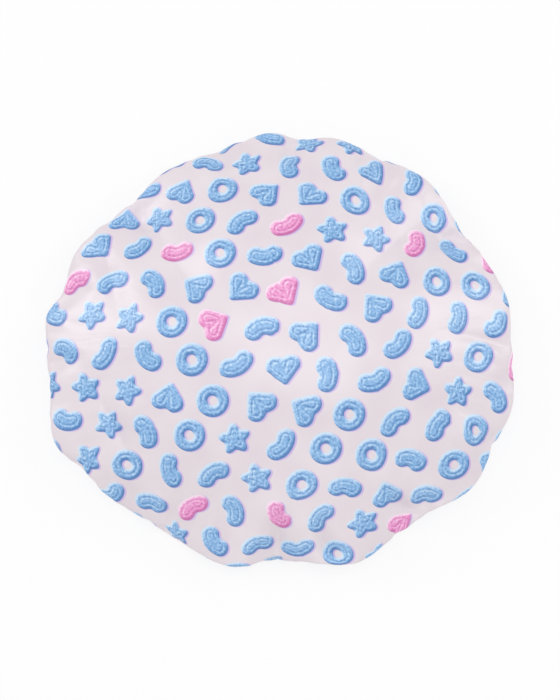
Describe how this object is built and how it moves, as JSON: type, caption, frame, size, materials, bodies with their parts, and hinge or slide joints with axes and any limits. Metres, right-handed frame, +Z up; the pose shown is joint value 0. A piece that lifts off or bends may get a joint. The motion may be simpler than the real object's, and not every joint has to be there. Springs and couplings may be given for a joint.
{
  "type": "shower cap",
  "caption": "Lined fabric shower cap lying mouth down: a full, softly folded crown gathered underneath onto an elastic in a stitched casing.",
  "frame": {"origin": "on the surface that the cap lies on, under the middle of its outline", "axes": "+Z up through the crown, +X to the right and +Y to the top of the picture, which looks down on the cap"},
  "size_m": [0.2932, 0.2742, 0.062],
  "materials": {
    "printed_satin": "satin-faced woven polyester, pale pink-lilac ground with a printed all-over pattern",
    "lining_film": "soft milky waterproof film, semi-matt",
    "knit_elastic": "white knitted elastic, matt",
    "sewing_thread": "spun polyester thread, pale pink"
  },
  "bodies": {
    "root": {"outer_shell": "printed_satin", "waterproof_lining": "lining_film", "elastic_band": "knit_elastic", "elastic_lap_stitch": "sewing_thread", "casing_stitch_row": "sewing_thread", "edge_stitch_row": "sewing_thread"}
  },
  "joints": []
}
